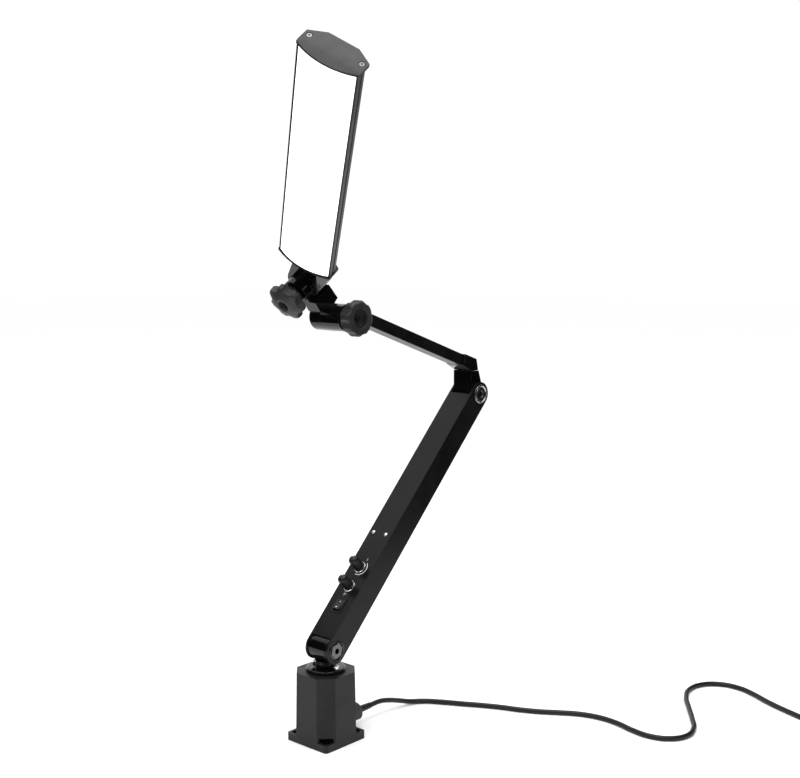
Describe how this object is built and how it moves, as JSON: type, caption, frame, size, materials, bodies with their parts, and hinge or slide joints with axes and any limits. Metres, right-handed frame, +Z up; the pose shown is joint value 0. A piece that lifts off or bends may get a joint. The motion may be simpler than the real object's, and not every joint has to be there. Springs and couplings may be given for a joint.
{
  "type": "jointed led task light",
  "caption": "Bench task light with a flat LED head on a folded, clamped two-part arm, a bolt-down swivel base, dimming controls and a mains lead.",
  "frame": {"origin": "middle of the base's underside, where it meets the bench", "axes": "+Z up; the folded arms bend in the XZ plane, the lower arm leaning to +X; the lead leaves the base on +X"},
  "size_m": [0.7964, 0.5653, 0.8143],
  "materials": {
    "cast_black": "matt textured powder coat on an aluminium casting",
    "sheet_black": "black anodised aluminium extrusion, satin",
    "gloss_black": "gloss black coated aluminium casting",
    "moulded_black": "fine-grained moulded black plastic",
    "bright_steel": "bright plated steel",
    "dark_steel": "blackened steel",
    "bronze": "sintered bronze",
    "friction_grey": "grey friction lining",
    "opal_white": "opal diffuser, lit from behind",
    "board_white": "white-masked circuit board and white plastic",
    "board_green": "green circuit board",
    "cord_black": "black PVC sheath"
  },
  "bodies": {
    "base": {"base_housing": "cast_black", "base_bottom_plate": "dark_steel", "base_terminal_block": "board_white", "swivel_flange": "gloss_black", "swivel_bushing": "bronze", "flange_screw_1": "bright_steel", "flange_screw_2": "bright_steel", "cable_gland_body": "moulded_black", "cable_gland_nut": "moulded_black", "strain_relief": "cord_black", "cable_lead": "cord_black", "cable_coil": "cord_black", "cable_tie": "moulded_black", "cable_tail": "cord_black", "plug_body": "moulded_black", "plug_pin_1": "bright_steel", "plug_pin_2": "bright_steel"},
    "turret": {"swivel_post": "gloss_black", "swivel_lock_ring": "dark_steel"},
    "lower_arm": {"lower_arm_tube": "sheet_black", "lower_pivot_bolt": "dark_steel", "lower_pivot_nut": "dark_steel", "elbow_bolt": "dark_steel", "elbow_nut": "dark_steel", "friction_disc_1": "friction_grey", "friction_disc_2": "friction_grey", "rocker_housing": "moulded_black", "dimmer_pot": "dark_steel", "tone_pot": "dark_steel", "dimmer_pot_nut": "bright_steel", "tone_pot_nut": "bright_steel", "driver_board": "board_green", "panel_screw_1": "bright_steel", "panel_screw_2": "bright_steel"},
    "rocker": {"rocker_key": "moulded_black"},
    "dimmer": {"dimmer_knob": "moulded_black"},
    "tone": {"tone_knob": "moulded_black"},
    "elbow": {"elbow_block": "gloss_black", "elbow_swivel_pin": "bright_steel"},
    "upper_arm": {"upper_arm_end_piece": "gloss_black", "upper_arm_tube": "sheet_black", "tilt_knuckle": "gloss_black"},
    "head_link": {"head_link": "gloss_black", "tilt_end_cap": "gloss_black", "tilt_stud": "dark_steel", "tilt_washer": "dark_steel"},
    "tilt_clamp_knob": {"tilt_knob": "moulded_black"},
    "head": {"head_bracket": "gloss_black", "rotate_stud": "dark_steel", "panel_housing": "sheet_black", "diffuser": "opal_white", "led_board": "board_white", "end_cap_bottom": "cast_black", "end_cap_top": "cast_black", "cap_screw_bottom_1": "bright_steel", "cap_screw_bottom_2": "bright_steel", "cap_screw_top_1": "bright_steel", "cap_screw_top_2": "bright_steel"},
    "rotate_clamp_knob": {"rotate_knob": "moulded_black"}
  },
  "joints": [
    {"name": "base_swivel", "type": "hinge", "parent": "base", "child": "turret", "pos_m": [0, 0, 0.095], "axis": [0, 0, 1], "range_deg": [-150, 150]},
    {"name": "lower_arm_hinge", "type": "hinge", "parent": "turret", "child": "lower_arm", "pos_m": [0, 0, 0.116], "axis": [0, 1, 0], "range_deg": [-74, 40]},
    {"name": "elbow_hinge", "type": "hinge", "parent": "lower_arm", "child": "elbow", "pos_m": [0.27976, 0, 0.40469], "axis": [0, 1, 0], "range_deg": [-27, 70]},
    {"name": "elbow_swivel", "type": "hinge", "parent": "elbow", "child": "upper_arm", "pos_m": [0.272, 0, 0.437], "axis": [0, 0, 1], "range_deg": [-90, 90]},
    {"name": "head_tilt", "type": "hinge", "parent": "upper_arm", "child": "head_link", "pos_m": [0.013, 0.0123, 0.522], "axis": [0, 1, 0], "range_deg": [-90, 60]},
    {"name": "head_rotate", "type": "hinge", "parent": "head_link", "child": "head", "pos_m": [-0.02596, 0.0123, 0.55801], "axis": [0.7923, 0, 0.6101], "range_deg": [-112, 37]},
    {"name": "tilt_knob_turn", "type": "hinge", "parent": "head_link", "child": "tilt_clamp_knob", "pos_m": [0.013, 0.0123, 0.522], "axis": [0, 1, 0], "range_deg": [-180, 180]},
    {"name": "rotate_knob_turn", "type": "hinge", "parent": "head", "child": "rotate_clamp_knob", "pos_m": [-0.02596, 0.0123, 0.55801], "axis": [-0.7923, 0, -0.6101], "range_deg": [-180, 180]},
    {"name": "rocker_tip", "type": "hinge", "parent": "lower_arm", "child": "rocker", "pos_m": [0.02542, 0, 0.16378], "axis": [0, 1, 0], "range_deg": [-14, 0]},
    {"name": "dimmer_turn", "type": "hinge", "parent": "lower_arm", "child": "dimmer", "pos_m": [0.04313, 0, 0.18421], "axis": [-0.7181, 0, 0.6959], "range_deg": [-150, 150]},
    {"name": "tone_turn", "type": "hinge", "parent": "lower_arm", "child": "tone", "pos_m": [0.06261, 0, 0.20432], "axis": [-0.7181, 0, 0.6959], "range_deg": [-150, 150]}
  ]
}
